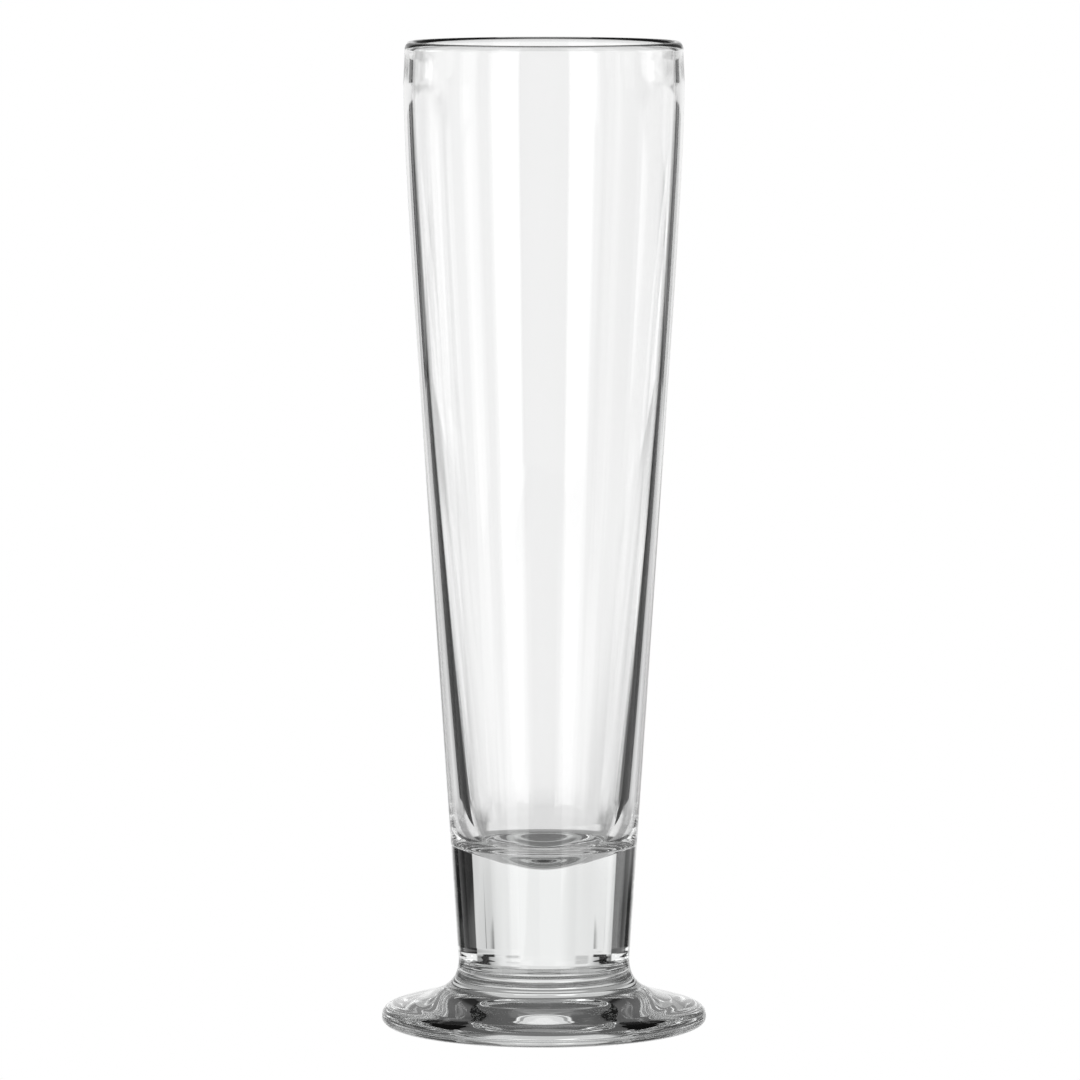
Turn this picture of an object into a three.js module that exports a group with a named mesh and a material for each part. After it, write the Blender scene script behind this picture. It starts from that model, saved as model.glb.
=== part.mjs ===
// A tall beer glass on a foot, in millimetres. The origin is the middle of the face that it
// stands on, and +Z runs up its axis to the mouth. It is made the way such a glass is drawn and
// joined hot: a thick-bottomed bowl, a solid shank below it and a pressed foot, each one
// meeting the next on a flat disc.
import * as THREE from 'three';

// Overall sizes
const glassHeight = 238.1;
const footDiameter = 78.4;
const neckDiameter = 41.2; // the narrowest place, where the shank meets the foot
const bellyDiameter = 67.4; // the widest place of the bowl, just under the rim
const mouthDiameter = 66.8; // at the foot of the rounded rim, outside

// The foot
const neckHeight = 17;
const restDiameter = 63; // outer edge of the flat ring that the glass stands on
const recessDiameter = 59; // inner edge of that ring
const recessDepth = 2; // of the shallow hollow inside the ring
const edgeHeight = 2.8; // where the foot is widest
const brimWidth = 5; // of the rounded outer edge, measured in from the widest place
const brimHeight = 6.5; // where the rounded edge runs into the sloping top
const brimSlope = 0.3; // rise per millimetre of that top, going inwards

// The straight taper, which runs through the shank and the lower bowl
const taperStartHeight = 19;
const taperStartDiameter = 41.5;
const shoulderDrop = 79.7; // from the mouth down to the end of the straight taper
const shoulderDiameter = 60.1;
const bellyDrop = 10.6; // from the mouth down to the widest place

// The wall and the inside of the bowl
const lipWidth = 1.3; // of the rim's rounding, from its crest out to the outer wall
const lipHeight = 1.9; // of that rounding
const innerLipWidth = 0.8; // from the crest in to the inner wall
const innerLipHeight = 1;
const bellyWall = 2.25;
const shoulderWall = 2.5;
const baseWall = 5.1; // at the bottom of the straight inner wall
const baseFlare = 0.11; // how far the inner wall opens there, per millimetre of height
const cavityFloorHeight = 39.7; // at its middle
const hollowRise = 4.2; // from there up to the edge of the hollowed floor
const hollowDiameter = 27.6; // across that edge
const hollowSlope = 0.17; // rise per millimetre at that edge, going outwards
const cornerRise = 13.2; // from that edge up to where the rounded corner becomes the wall
const floorThickness = 6.5; // of the bowl, below its cavity

// How far the handles of each curve reach, as a share of its run or of its rise
const recessReach = 0.5; // out from the middle of the recess
const recessRimReach = 0.15; // back in from the resting ring
const recessRimRise = 0.1; // share of the recess's depth at that handle
const undersideReach = 0.8; // out from the resting ring
const edgeReach = 0.47; // down from the foot's widest place
const edgeTopReach = 0.75; // up from it
const brimReach = 0.55; // out from the inner end of the brim
const sweepReach = 0.47; // in from there, towards the neck
const neckReach = 0.78; // down from the neck
const blendReach = 0.4; // between the neck and the taper
const bellyReach = 0.2; // between the taper and the belly
const lipReach = 0.35; // between the belly and the rim, outside and inside
const roundReach = 0.5523; // of a quarter circle or a quarter ellipse
const wallReach = 0.3; // down from the shoulder, inside
const wallFootReach = 0.4; // up from the corner, inside
const cornerReach = 0.78; // down from the wall
const cornerFloorReach = 0.5; // out from the edge of the hollowed floor
const hollowReach = 0.2; // in from that edge
const hollowMiddleReach = 0.35; // out from the middle

// How finely the round shapes are divided
const turnSteps = 64;
const curveSteps = 7;

const footRadius = footDiameter / 2;
const neckRadius = neckDiameter / 2;
const bellyRadius = bellyDiameter / 2;
const mouthRadius = mouthDiameter / 2;
const shoulderRadius = shoulderDiameter / 2;
const taperStartRadius = taperStartDiameter / 2;
const shoulderHeight = glassHeight - shoulderDrop;
const bellyHeight = glassHeight - bellyDrop;
const bowlBaseHeight = cavityFloorHeight - floorThickness;
const taperSlope = (shoulderRadius - taperStartRadius) / (shoulderHeight - taperStartHeight);

function radiusOnTaper(height) {
  return taperStartRadius + taperSlope * (height - taperStartHeight);
}

// Turns a closed outline, drawn in radius and height, about the vertical axis.
function turned(name, outline, colour) {
  const geometry = new THREE.LatheGeometry(outline.getPoints(curveSteps), turnSteps);
  geometry.rotateX(Math.PI / 2);
  const material = new THREE.MeshStandardMaterial({
    color: colour,
    roughness: 0.03,
    metalness: 0,
    transparent: true,
    opacity: 0.35,
  });
  const mesh = new THREE.Mesh(geometry, material);
  mesh.name = name;
  return mesh;
}

// A pressed disc with a rounded edge. Its top sweeps up into the neck in one hollow curve.
function makeFoot() {
  const restRadius = restDiameter / 2;
  const recessRadius = recessDiameter / 2;
  const undersideRun = footRadius - restRadius;
  const brimRadius = footRadius - brimWidth;
  const brimRise = brimHeight - edgeHeight;
  const sweepRun = brimRadius - neckRadius;
  const sweepRise = neckHeight - brimHeight;
  const outline = new THREE.Path();
  outline.moveTo(0, recessDepth);
  outline.bezierCurveTo(
    recessRadius * recessReach, recessDepth,
    recessRadius * (1 - recessRimReach), recessDepth * recessRimRise,
    recessRadius, 0,
  );
  outline.lineTo(restRadius, 0);
  outline.bezierCurveTo(
    restRadius + undersideRun * undersideReach, 0,
    footRadius, edgeHeight * (1 - edgeReach),
    footRadius, edgeHeight,
  );
  outline.bezierCurveTo(
    footRadius, edgeHeight + brimRise * edgeTopReach,
    brimRadius + brimWidth * brimReach, brimHeight - brimSlope * brimWidth * brimReach,
    brimRadius, brimHeight,
  );
  outline.bezierCurveTo(
    brimRadius - sweepRun * sweepReach, brimHeight + brimSlope * sweepRun * sweepReach,
    neckRadius, neckHeight - sweepRise * neckReach,
    neckRadius, neckHeight,
  );
  outline.lineTo(0, neckHeight);
  return turned('foot', outline, 0xf4f6f5);
}

// The solid length of glass between the foot and the bowl.
function makeShank() {
  const blend = (taperStartHeight - neckHeight) * blendReach;
  const outline = new THREE.Path();
  outline.moveTo(0, neckHeight);
  outline.lineTo(neckRadius, neckHeight);
  outline.bezierCurveTo(
    neckRadius, neckHeight + blend,
    radiusOnTaper(taperStartHeight - blend), taperStartHeight - blend,
    taperStartRadius, taperStartHeight,
  );
  outline.lineTo(radiusOnTaper(bowlBaseHeight), bowlBaseHeight);
  outline.lineTo(0, bowlBaseHeight);
  return turned('shank', outline, 0xf4f6f5);
}

// The open bowl: a straight taper outside, a wall that thins towards the rim, a rounded
// rim and a hollowed floor.
function makeBowl() {
  const crestRadius = mouthRadius - lipWidth;
  const innerMouthRadius = crestRadius - innerLipWidth;
  const lipBase = glassHeight - lipHeight;
  const innerLipBase = glassHeight - innerLipHeight;
  const swell = (bellyHeight - shoulderHeight) * bellyReach;
  const lipBend = (lipBase - bellyHeight) * lipReach;
  const innerLipBend = (innerLipBase - bellyHeight) * lipReach;
  const innerBellyRadius = bellyRadius - bellyWall;
  const innerShoulderRadius = shoulderRadius - shoulderWall;
  const hollowRadius = hollowDiameter / 2;
  const hollowHeight = cavityFloorHeight + hollowRise;
  const cornerHeight = hollowHeight + cornerRise;
  const cornerRadius = radiusOnTaper(cornerHeight) - baseWall;
  const cornerRun = (cornerRadius - hollowRadius) * cornerFloorReach;
  const cornerDrop = cornerRise * cornerReach;
  const wallDrop = (shoulderHeight - cornerHeight) * wallReach;
  const wallFootRise = (shoulderHeight - cornerHeight) * wallFootReach;
  const hollowRun = hollowRadius * hollowReach;

  const outline = new THREE.Path();
  outline.moveTo(0, bowlBaseHeight);
  outline.lineTo(radiusOnTaper(bowlBaseHeight), bowlBaseHeight);
  outline.lineTo(shoulderRadius, shoulderHeight);
  outline.bezierCurveTo(
    shoulderRadius + taperSlope * swell, shoulderHeight + swell,
    bellyRadius, bellyHeight - swell,
    bellyRadius, bellyHeight,
  );
  outline.bezierCurveTo(
    bellyRadius, bellyHeight + lipBend,
    mouthRadius, lipBase - lipBend,
    mouthRadius, lipBase,
  );
  outline.bezierCurveTo(
    mouthRadius, lipBase + lipHeight * roundReach,
    crestRadius + lipWidth * roundReach, glassHeight,
    crestRadius, glassHeight,
  );
  outline.bezierCurveTo(
    crestRadius - innerLipWidth * roundReach, glassHeight,
    innerMouthRadius, innerLipBase + innerLipHeight * roundReach,
    innerMouthRadius, innerLipBase,
  );
  outline.bezierCurveTo(
    innerMouthRadius, innerLipBase - innerLipBend,
    innerBellyRadius, bellyHeight + innerLipBend,
    innerBellyRadius, bellyHeight,
  );
  outline.bezierCurveTo(
    innerBellyRadius, bellyHeight - swell,
    innerShoulderRadius + taperSlope * swell, shoulderHeight + swell,
    innerShoulderRadius, shoulderHeight,
  );
  outline.bezierCurveTo(
    innerShoulderRadius - taperSlope * wallDrop, shoulderHeight - wallDrop,
    cornerRadius + baseFlare * wallFootRise, cornerHeight + wallFootRise,
    cornerRadius, cornerHeight,
  );
  outline.bezierCurveTo(
    cornerRadius - baseFlare * cornerDrop, cornerHeight - cornerDrop,
    hollowRadius + cornerRun, hollowHeight + hollowSlope * cornerRun,
    hollowRadius, hollowHeight,
  );
  outline.bezierCurveTo(
    hollowRadius - hollowRun, hollowHeight - hollowSlope * hollowRun,
    hollowRadius * hollowMiddleReach, cavityFloorHeight,
    0, cavityFloorHeight,
  );
  return turned('bowl', outline, 0xf4f6f5);
}

const glass = new THREE.Group();
glass.add(makeBowl(), makeShank(), makeFoot());

export default glass;
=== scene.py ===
"""A tall beer glass on a foot, dressed for rendering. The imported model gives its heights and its
largest radii; the wall, the floor of the bowl and the curves of the foot are named here in metres.
The three masses that the glass is joined from become one unbroken skin, as they are once they
have been joined hot."""

import math

import bpy
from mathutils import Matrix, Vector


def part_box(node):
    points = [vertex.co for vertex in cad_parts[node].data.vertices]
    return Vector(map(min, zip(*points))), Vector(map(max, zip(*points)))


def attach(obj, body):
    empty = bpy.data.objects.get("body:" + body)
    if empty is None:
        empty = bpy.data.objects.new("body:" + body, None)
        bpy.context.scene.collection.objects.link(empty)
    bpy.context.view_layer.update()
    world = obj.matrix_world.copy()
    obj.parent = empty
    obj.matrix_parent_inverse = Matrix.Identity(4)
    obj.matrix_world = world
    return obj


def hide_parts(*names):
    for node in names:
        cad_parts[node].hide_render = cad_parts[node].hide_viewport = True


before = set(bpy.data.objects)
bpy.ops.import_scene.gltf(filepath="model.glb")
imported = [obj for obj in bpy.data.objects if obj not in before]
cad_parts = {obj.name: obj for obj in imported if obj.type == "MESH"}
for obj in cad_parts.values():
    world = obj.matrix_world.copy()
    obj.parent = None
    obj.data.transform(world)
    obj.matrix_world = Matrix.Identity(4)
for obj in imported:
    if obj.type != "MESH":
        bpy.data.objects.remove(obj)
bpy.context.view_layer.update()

MM = 0.001
WHITE = (1, 1, 1, 1)

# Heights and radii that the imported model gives
glass_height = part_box("bowl")[1][2]
belly_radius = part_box("bowl")[1][0]
neck_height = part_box("shank")[0][2]
foot_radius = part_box("foot")[1][0]

# The foot
neck_radius = 20.6 * MM
rest_radius = 31.5 * MM
recess_radius = 29.5 * MM
recess_depth = 2.0 * MM
edge_height = 2.8 * MM
brim_width = 5.0 * MM
brim_height = 6.5 * MM
brim_slope = 0.3

# The straight taper
taper_start_height = 19.0 * MM
taper_start_radius = 20.75 * MM
shoulder_height = glass_height - 79.7 * MM
shoulder_radius = 30.05 * MM
belly_height = glass_height - 10.6 * MM
mouth_radius = 33.4 * MM

# The wall and the inside of the bowl
lip_width = 1.3 * MM
lip_height = 1.9 * MM
inner_lip_width = 0.8 * MM
inner_lip_height = 1.0 * MM
belly_wall = 2.25 * MM
shoulder_wall = 2.5 * MM
base_wall = 5.1 * MM
base_flare = 0.11
cavity_floor_height = 39.7 * MM
hollow_rise = 4.2 * MM
hollow_radius = 13.8 * MM
hollow_slope = 0.17
corner_rise = 13.2 * MM

# How far the handles of each curve reach, as a share of its run or of its rise
recess_reach = 0.5
recess_rim_reach = 0.15
recess_rim_rise = 0.1
underside_reach = 0.8
edge_reach = 0.47
edge_top_reach = 0.75
brim_reach = 0.55
sweep_reach = 0.47
neck_reach = 0.78
blend_reach = 0.4
belly_reach = 0.2
lip_reach = 0.35
wall_reach = 0.3
wall_foot_reach = 0.4
corner_reach = 0.78
corner_floor_reach = 0.5
hollow_reach = 0.2
hollow_middle_reach = 0.35

# How finely the skin is divided
turn_steps = 240
curve_steps = 22

# The studio round the glass: how bright the dim room is, and the soft boxes, cards and gaps in it,
# later ones over earlier ones. Each has its left, right, low and high edge in degrees, with
# heading 0 straight behind the glass and 180 behind the camera. Then come its lean (degrees of
# height per degree of heading), its brightness, and the blur of its sides and of its ends.
ROOM_LEVEL = 0.1
SOFT_BOXES = (
    (-200, 200, -95, -18.9, 0, 0.5, 1, 5),  # the table all round
    (-200, 200, -46, -17.5, 0, 0.06, 1, 3),  # dark ring on the table
    (-64, -27, -36, -17.8, 0, 0.8, 3, 3),  # low card behind left
    (27, 64, -36, -17.8, 0, 0.8, 3, 3),  # low card behind right
    (-165, -115, -26, -16.5, 0, 0.8, 3, 3),  # low card in front left
    (115, 165, -26, -16.5, 0, 0.8, 3, 3),  # low card in front right
    (-37.8, 34.8, -90, -51.6, -0.02, 0.18, 8.2, 7),  # table under the foot
    (-37.6, 38.9, -50.5, -11.6, 0.1, 0.4, 10.3, 7.1),  # table behind
    (-18.6, 20.1, -50.2, -19.7, -0.06, 0.39, 8.3, 6.4),  # table middle
    (-14, 14, -30, -19, 0, 1, 8, 4),  # bright patch, far along the table
    (-14, 14, -68, -62, 0, 0.6, 6, 3),  # bright patch, close to the foot
    (150, 210, -85, -55, 0, 0.42, 8, 4),  # table in front
    (-42.4, 40.7, 52.2, 79.3, 0.23, 0.3, 8.2, 5.8),  # high panel behind
    (-134.5, -76, -18.8, 7, -0.01, 0.58, 1, 1.9),  # dim left
    (76, 132, -15.4, 7, 0, 0.58, 1, 2),  # dim right
    (-88.5, -60.9, -19.8, -0.4, -0.02, 0.36, 2.1, 0.9),  # side panel left
    (56.2, 88.7, -18.5, -1.8, 0.2, 0.44, 2.5, 0.3),  # side panel right
    (-37.4, 29.4, -19.8, -2.9, -0.06, 0.5, 4, 0.3),  # backdrop
    (-40.4, 40.5, -2.9, -1.5, -0.01, 1.17, 1.1, 9),  # backdrop top
    (-25.4, 23.9, -14.6, -0.3, 0.01, 0.88, 9.4, 6.1),  # backdrop middle
    (-13.7, 12.2, -32.8, -0.8, -0.03, 0.83, 5.9, 3.1),  # backdrop core
    (-10.8, 12.6, -10.2, 0.1, 0.1, 0.98, 8.9, 3.2),  # backdrop core, brighter part
    (-30.9, 33.8, -0.9, 50.6, 0.02, 0.18, 5, 1.4),  # dim wall above the backdrop
    (-26.6, 21.2, 2.3, 36.2, 0.15, 0.64, 5.7, 5.2),  # glow on that wall
    (-22, 20, -1.2, 4, 0, 0.85, 5, 2),  # foot of the glow
    (-10.2, -4, 0.6, 14.2, -0.39, 1.28, 2.6, 2.7),  # glow left
    (2, 9.8, -6.6, 11.5, 0.58, 0.95, 0.3, 9.2),  # glow right
    (-22.5, -15, -7.8, -4.2, 0, 0.6, 2.5, 1.6),  # dim gap left
    (11.6, 18.5, -6.6, -4.1, 0.01, 0.55, 2.5, 1.6),  # dim gap right
    (-100, -38, 0.4, 9, 0, 0.45, 2, 1),  # upper left
    (38, 100, 1.4, 9, 0, 0.45, 2, 1),  # upper right
    (-77.8, -41.2, -6.7, -2.7, 0, 0.99, 2.5, 0.5),  # light strip left
    (40.6, 82.1, -5.4, -1.9, 0.05, 1, 2.5, 0.3),  # light strip right
    (-82.6, -65.4, -10.7, -3.7, 0.17, 1.78, 2.5, 2),  # bright strip left
    (59.8, 91.3, -11.4, -2.2, -0.16, 1.09, 2.5, 0.8),  # bright strip right
    (-65, -44, -14.9, -11.3, 0.12, 0.83, 1.1, 2),  # low panel left
    (41.2, 64.9, -13.1, -11.2, -0.11, 0.81, 1.7, 2),  # low panel right
    (-64.9, -46.5, -8.7, -6.8, 0.16, 1.54, 2.5, 0.4),  # bar left
    (46.2, 66.3, -8.8, -6.9, -0.17, 1.93, 2.5, 0.3),  # bar right
    (-66.3, -56, -17.4, -15.9, 0.33, 1.11, 1.5, 0.3),  # low strip left
    (48.6, 65.7, -15.6, -14, -0.29, 1.46, 2.5, 2),  # low strip right
    (-55.9, -32.9, -18.8, -10.3, 0.63, 0, 0.3, 1.3),  # black slope left
    (31, 55.3, -17.2, -10.9, -0.67, 0, 0.3, 0.6),  # black slope right
    (-44.5, -31.3, -15.4, -9.3, 0.18, 0, 2.5, 0.3),  # black low left
    (29.2, 41.1, -15.3, -8.9, -0.19, 0, 2.5, 0.3),  # black low right
    (-35.9, -25.5, -6.2, -3.2, 0, 0, 1.5, 0.2),  # black card left
    (-35.9, -30, -9.1, -6, 0, 0, 1.2, 0.5),  # black card left low
    (25.5, 34.5, -6.2, -3.2, 0, 0, 1.5, 0.2),  # black card right
    (30, 34.5, -9.4, -6, 0, 0, 1.2, 0.5),  # black card right low
    (-78, -47, -2, -0.9, -0.07, 0.02, 0.8, 0.4),  # black line left
    (40, 58, -2.1, -0.8, 0.03, 0, 0.8, 0.4),  # black line right
    (57, 80, -1, 0.3, 0.06, 0, 0.8, 0.4),  # black line right end
    (-122, -106.5, -6, 7, 0, 1.3, 0.8, 1),  # narrow front box left, top
    (-122.5, -108.9, -14.5, -6, -0.1, 1.35, 0.9, 1),  # narrow front box left
    (-75, -64.5, 0.4, 7, 0, 1.6, 0.8, 0.5),  # small light left
    (-132.6, -125, -15.9, 6.3, 0.01, 0.69, 0.9, 1),  # gap between the boxes left
    (-161.4, -133.3, -16, 8, -0.09, 1.64, 2.1, 0.5),  # wide front box left
    (-147.2, -135.9, -17.8, -12, 0, 2.5, 0.3, 0.3),  # wide front box left, low corner
    (-155.4, -150, 1.7, 7.6, 0, 1.84, 0.7, 0.8),  # wide front box left, top
    (100.4, 110.4, -1.8, 7, 0, 1, 0.9, 1.1),  # narrow front box right
    (77, 84, 0.4, 7, 0, 1.6, 0.8, 0.5),  # small light right
    (116.4, 131.2, -14.9, 6.9, 0.07, 0.14, 0.5, 1.6),  # gap between the boxes right
    (133.1, 158.3, -14.4, 5.4, -0.06, 1.35, 1.6, 0.3),  # wide front box right
    (130, 137.6, -19.1, -6.2, -0.04, 0.52, 2.1, 1),  # wide front box right, low corner
    (144.9, 154.6, -0.7, 7.4, -0.01, 1.21, 2.2, 1.9),  # wide front box right, top
    (160.1, 201.9, -14.5, 4.2, 0.01, 0.38, 2.5, 0.3),  # dim card behind the camera
)

# The glass itself
REFRACTIVE_INDEX = 1.52
WAVE_SCALE = 70.0  # waves per metre round the wall
WAVE_STRETCH = 0.15  # waves per metre up the wall, as a share of those round it
WAVE_DETAIL = 1.0
WAVE_DEPTH = 0.012 * MM
CLOUD_SCALE = 45.0  # faint clouds of grey per metre
CLOUD_DETAIL = 2.0
CLOUD_SHARE = 0.2  # their strength, as a share of the grey of solid glass
SOLID_TOP = 41.0 * MM  # where the solid glass ends and the thin wall begins
SOLID_BLUR = 8.0 * MM
SOLID_GREY = (0.055, 0.045, 0.05)  # how much red, green and blue solid glass takes away

# The camera, and the plain floor just under the glass
CAMERA_PLACE = (-0.96 * MM, -2.1, 0.3103)
CAMERA_TILT = math.radians(84.775)
CAMERA_LENS = 292.2
CAMERA_SENSOR = 36
FLOOR_SIZE = 60
FLOOR_DROP = 0.1 * MM

# How often light may be bent or mirrored on its way through the glass
BENDS = 32
MIRRORINGS = 16

ARC_HANDLE = 0.5523  # handle length that makes a quarter ellipse, as a share of its width
JOIN_DISTANCE = 0.002 * MM  # points closer than this become one


def along(start, end, share):
    """The point that lies a share of the way from start to end."""
    return tuple(a + (b - a) * share for a, b in zip(start, end))


class Outline:
    """A chain of curves in radius and height, from the axis round the skin and back to the axis."""

    def __init__(self, start):
        self.points = [start]
        self.before = [start]
        self.after = [start]

    def curve(self, first_handle, second_handle, end):
        self.after[-1] = first_handle
        self.points.append(end)
        self.before.append(second_handle)
        self.after.append(end)

    def line(self, end):
        start = self.points[-1]
        self.curve(along(start, end, 1 / 3), along(start, end, 2 / 3), end)


def radius_on_taper(height):
    """The outside radius of the straight taper at a height."""
    slope = (shoulder_radius - taper_start_radius) / (shoulder_height - taper_start_height)
    return taper_start_radius + slope * (height - taper_start_height)


def foot_outline(outline):
    """The underside, the rounded edge and the sweep up into the neck."""
    underside_run = foot_radius - rest_radius
    brim_radius = foot_radius - brim_width
    brim_rise = brim_height - edge_height
    brim_run = brim_width * brim_reach
    sweep_run = (brim_radius - neck_radius) * sweep_reach
    outline.curve(
        (recess_radius * recess_reach, recess_depth),
        (recess_radius * (1 - recess_rim_reach), recess_depth * recess_rim_rise),
        (recess_radius, 0),
    )
    outline.line((rest_radius, 0))
    outline.curve(
        (rest_radius + underside_run * underside_reach, 0),
        (foot_radius, edge_height * (1 - edge_reach)),
        (foot_radius, edge_height),
    )
    outline.curve(
        (foot_radius, edge_height + brim_rise * edge_top_reach),
        (brim_radius + brim_run, brim_height - brim_slope * brim_run),
        (brim_radius, brim_height),
    )
    outline.curve(
        (brim_radius - sweep_run, brim_height + brim_slope * sweep_run),
        (neck_radius, neck_height - (neck_height - brim_height) * neck_reach),
        (neck_radius, neck_height),
    )


def outer_outline(outline):
    """From the neck up the taper and over the belly to the rim."""
    blend = (taper_start_height - neck_height) * blend_reach
    swell = (belly_height - shoulder_height) * belly_reach
    lip_base = glass_height - lip_height
    lip_bend = (lip_base - belly_height) * lip_reach
    outline.curve(
        (neck_radius, neck_height + blend),
        (radius_on_taper(taper_start_height - blend), taper_start_height - blend),
        (taper_start_radius, taper_start_height),
    )
    outline.line((shoulder_radius, shoulder_height))
    outline.curve(
        (radius_on_taper(shoulder_height + swell), shoulder_height + swell),
        (belly_radius, belly_height - swell),
        (belly_radius, belly_height),
    )
    outline.curve(
        (belly_radius, belly_height + lip_bend),
        (mouth_radius, lip_base - lip_bend),
        (mouth_radius, lip_base),
    )


def rim_outline(outline):
    """Over the rim's crest, as two quarter ellipses, the outer one larger."""
    crest_radius = mouth_radius - lip_width
    inner_mouth = crest_radius - inner_lip_width
    outline.curve(
        (mouth_radius, glass_height - lip_height * (1 - ARC_HANDLE)),
        (crest_radius + lip_width * ARC_HANDLE, glass_height),
        (crest_radius, glass_height),
    )
    outline.curve(
        (crest_radius - inner_lip_width * ARC_HANDLE, glass_height),
        (inner_mouth, glass_height - inner_lip_height * (1 - ARC_HANDLE)),
        (inner_mouth, glass_height - inner_lip_height),
    )


def inner_outline(outline):
    """From the rim down the inner wall to the hollowed floor."""
    swell = (belly_height - shoulder_height) * belly_reach
    inner_belly = belly_radius - belly_wall
    inner_mouth = mouth_radius - lip_width - inner_lip_width
    inner_lip_base = glass_height - inner_lip_height
    inner_lip_bend = (inner_lip_base - belly_height) * lip_reach
    hollow_height = cavity_floor_height + hollow_rise
    corner_height = hollow_height + corner_rise
    corner_radius = radius_on_taper(corner_height) - base_wall
    corner_run = (corner_radius - hollow_radius) * corner_floor_reach
    corner_drop = corner_rise * corner_reach
    wall_drop = (shoulder_height - corner_height) * wall_reach
    wall_foot_rise = (shoulder_height - corner_height) * wall_foot_reach
    hollow_run = hollow_radius * hollow_reach
    outline.curve(
        (inner_mouth, inner_lip_base - inner_lip_bend),
        (inner_belly, belly_height + inner_lip_bend),
        (inner_belly, belly_height),
    )
    outline.curve(
        (inner_belly, belly_height - swell),
        (radius_on_taper(shoulder_height + swell) - shoulder_wall, shoulder_height + swell),
        (shoulder_radius - shoulder_wall, shoulder_height),
    )
    outline.curve(
        (radius_on_taper(shoulder_height - wall_drop) - shoulder_wall, shoulder_height - wall_drop),
        (corner_radius + base_flare * wall_foot_rise, corner_height + wall_foot_rise),
        (corner_radius, corner_height),
    )
    outline.curve(
        (corner_radius - base_flare * corner_drop, corner_height - corner_drop),
        (hollow_radius + corner_run, hollow_height + hollow_slope * corner_run),
        (hollow_radius, hollow_height),
    )
    outline.curve(
        (hollow_radius - hollow_run, hollow_height - hollow_slope * hollow_run),
        (hollow_radius * hollow_middle_reach, cavity_floor_height),
        (0, cavity_floor_height),
    )


def turn_glass():
    """Draws the outline as a curve, makes it a mesh and spins it round the axis."""
    outline = Outline((0, recess_depth))
    foot_outline(outline)
    outer_outline(outline)
    rim_outline(outline)
    inner_outline(outline)
    bpy.ops.object.select_all(action="DESELECT")
    bpy.ops.curve.primitive_bezier_curve_add(location=(0, 0, 0))
    glass = bpy.context.object
    glass.name = "glass"
    glass.data.resolution_u = curve_steps
    spline = glass.data.splines[0]
    spline.bezier_points.add(len(outline.points) - len(spline.bezier_points))
    for knot, at, before, after in zip(
        spline.bezier_points, outline.points, outline.before, outline.after
    ):
        knot.handle_left_type = knot.handle_right_type = "FREE"
        knot.co = (at[0], 0, at[1])
        knot.handle_left = (before[0], 0, before[1])
        knot.handle_right = (after[0], 0, after[1])
    bpy.ops.object.convert(target="MESH")
    bpy.ops.object.mode_set(mode="EDIT")
    bpy.ops.mesh.select_all(action="SELECT")
    bpy.ops.mesh.spin(steps=turn_steps, angle=math.tau, center=(0, 0, 0), axis=(0, 0, 1))
    bpy.ops.mesh.select_all(action="SELECT")
    bpy.ops.mesh.remove_doubles(threshold=JOIN_DISTANCE)
    bpy.ops.mesh.normals_make_consistent(inside=False)
    bpy.ops.object.mode_set(mode="OBJECT")
    bpy.ops.object.shade_smooth()
    return glass


class Wire:
    """A shader socket that can be used in sums."""

    def __init__(self, shader, socket):
        self.shader = shader
        self.socket = socket

    def math(self, operation, *others):
        settings = {"operation": operation}
        return self.shader.node("ShaderNodeMath", self, *others, settings=settings)

    def __add__(self, other):
        return self.math("ADD", other)

    def __sub__(self, other):
        return self.math("SUBTRACT", other)

    def __rsub__(self, other):
        return self.math("MULTIPLY_ADD", -1, other)

    def __mul__(self, other):
        return self.math("MULTIPLY", other)

    __radd__ = __add__
    __rmul__ = __mul__


class Shader:
    """Adds nodes to a node tree, each one by its type, its settings and its socket values."""

    def __init__(self, node_tree):
        self.tree = node_tree
        self.tree.nodes.clear()

    def node(self, kind, *values, settings=None, output=0, **named):
        """Sockets are set by their order, or by their name with spaces written as underscores."""
        made = self.tree.nodes.new(kind)
        for name, value in (settings or {}).items():
            setattr(made, name, value)
        sockets = list(enumerate(values))
        sockets += [(name.replace("_", " "), value) for name, value in named.items()]
        for key, value in sockets:
            if isinstance(value, Wire):
                self.tree.links.new(value.socket, made.inputs[key])
            else:
                made.inputs[key].default_value = value
        return Wire(self, made.outputs[output]) if len(made.outputs) else made

    def split(self, vector):
        """The three parts of a vector."""
        made = self.node("ShaderNodeSeparateXYZ", vector).socket.node
        return [Wire(self, part) for part in made.outputs]

    def fade(self, distance, edge, blur):
        """1 within the edge and 0 beyond it, blurred by that width."""
        return self.node(
            "ShaderNodeMapRange",
            distance, edge - blur / 2, edge + blur / 2, 1.0, 0.0,
            settings={"interpolation_type": "SMOOTHSTEP"},
        )


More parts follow.
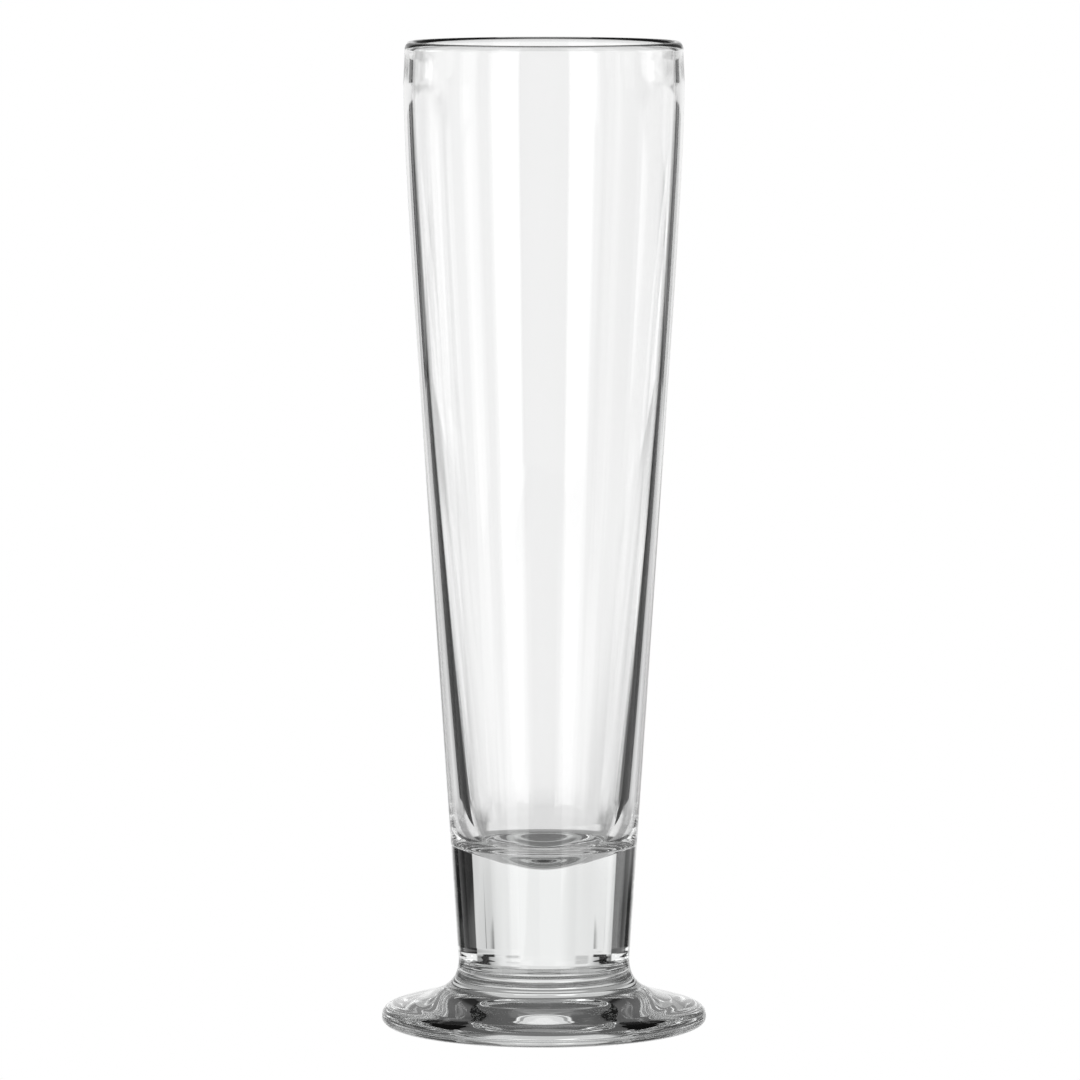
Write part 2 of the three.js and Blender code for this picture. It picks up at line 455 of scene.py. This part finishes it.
def clear_glass():
    """Colourless glass. A drawn and fire-polished wall has faint upright waves, and the solid
    glass of the shank and the foot looks a little greyer than the thin wall."""
    material = bpy.data.materials.new("clear_glass")
    material.use_nodes = True
    shader = Shader(material.node_tree)
    place = shader.node("ShaderNodeTexCoord", output="Object")
    drawn = shader.node("ShaderNodeMapping", Vector=place, Scale=(1, 1, WAVE_STRETCH))
    waves = shader.node(
        "ShaderNodeTexNoise", Vector=drawn, Scale=WAVE_SCALE, Detail=WAVE_DETAIL
    )
    clouds = shader.node(
        "ShaderNodeTexNoise", Vector=place, Scale=CLOUD_SCALE, Detail=CLOUD_DETAIL
    )
    height = shader.split(place)[2]
    grey = shader.fade(height, SOLID_TOP, SOLID_BLUR) + clouds * CLOUD_SHARE
    tint = shader.node("ShaderNodeCombineColor", *(1 - grey * loss for loss in SOLID_GREY))
    bump = shader.node("ShaderNodeBump", Height=waves, Strength=1.0, Distance=WAVE_DEPTH)
    glass = shader.node(
        "ShaderNodeBsdfPrincipled",
        Base_Color=tint, Roughness=0.0, IOR=REFRACTIVE_INDEX,
        Transmission_Weight=1.0, Normal=bump,
    )
    shader.node("ShaderNodeOutputMaterial", Surface=glass)
    return material


def studio_world():
    """White to the camera's eye. What the glass bends and mirrors is a dim room with soft boxes,
    cards and gaps in it, each set by heading and height."""
    world = bpy.data.worlds.new("studio")
    bpy.context.scene.world = world
    world.use_nodes = True
    shader = Shader(world.node_tree)
    direction = shader.node("ShaderNodeTexCoord", output="Generated")
    x, y, z = shader.split(direction)
    heading = x.math("ARCTAN2", y).math("DEGREES")
    height = z.math("ARCSINE").math("DEGREES")
    level = ROOM_LEVEL
    for left, right, low, high, lean, brightness, side_blur, end_blur in SOFT_BOXES:
        offset = (heading - (left + right) / 2).math("WRAP", 180, -180)
        across = offset.math("ABSOLUTE")
        rise = (height - offset * lean - (low + high) / 2).math("ABSOLUTE")
        within_sides = shader.fade(across, (right - left) / 2, side_blur)
        within_ends = shader.fade(rise, (high - low) / 2, end_blur)
        level = level + (brightness - level) * (within_sides * within_ends)
    seen = shader.node("ShaderNodeLightPath", output="Is Camera Ray")
    glow = shader.node("ShaderNodeBackground", Color=WHITE, Strength=seen + (1 - seen) * level)
    shader.node("ShaderNodeOutputWorld", Surface=glow)


def add_floor():
    """A plain pale floor, which the glass neither mirrors nor bends."""
    bpy.ops.object.select_all(action="DESELECT")
    bpy.ops.mesh.primitive_plane_add(size=FLOOR_SIZE, location=(0, 0, -FLOOR_DROP))
    floor = bpy.context.object
    floor.name = "floor"
    floor.visible_transmission = False
    floor.visible_glossy = False
    floor.visible_diffuse = False
    floor.visible_shadow = False
    material = bpy.data.materials.new("floor")
    material.use_nodes = True
    shader = Shader(material.node_tree)
    glow = shader.node("ShaderNodeEmission", Color=WHITE, Strength=1.0)
    shader.node("ShaderNodeOutputMaterial", Surface=glow)
    floor.data.materials.append(material)


def add_camera():
    """The camera at the photograph's place, found from the ellipses of the rim and the foot."""
    bpy.ops.object.camera_add(location=CAMERA_PLACE, rotation=(CAMERA_TILT, 0, 0))
    camera = bpy.context.object
    camera.name = "camera"
    camera.data.sensor_width = CAMERA_SENSOR
    camera.data.lens = CAMERA_LENS
    bpy.context.scene.camera = camera


bpy.context.scene.view_settings.view_transform = "Standard"
bpy.context.scene.cycles.max_bounces = BENDS
bpy.context.scene.cycles.transmission_bounces = BENDS
bpy.context.scene.cycles.glossy_bounces = MIRRORINGS

add_camera()
add_floor()
studio_world()

glass = turn_glass()
glass.data.materials.append(clear_glass())
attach(glass, "root")
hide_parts("bowl", "shank", "foot")
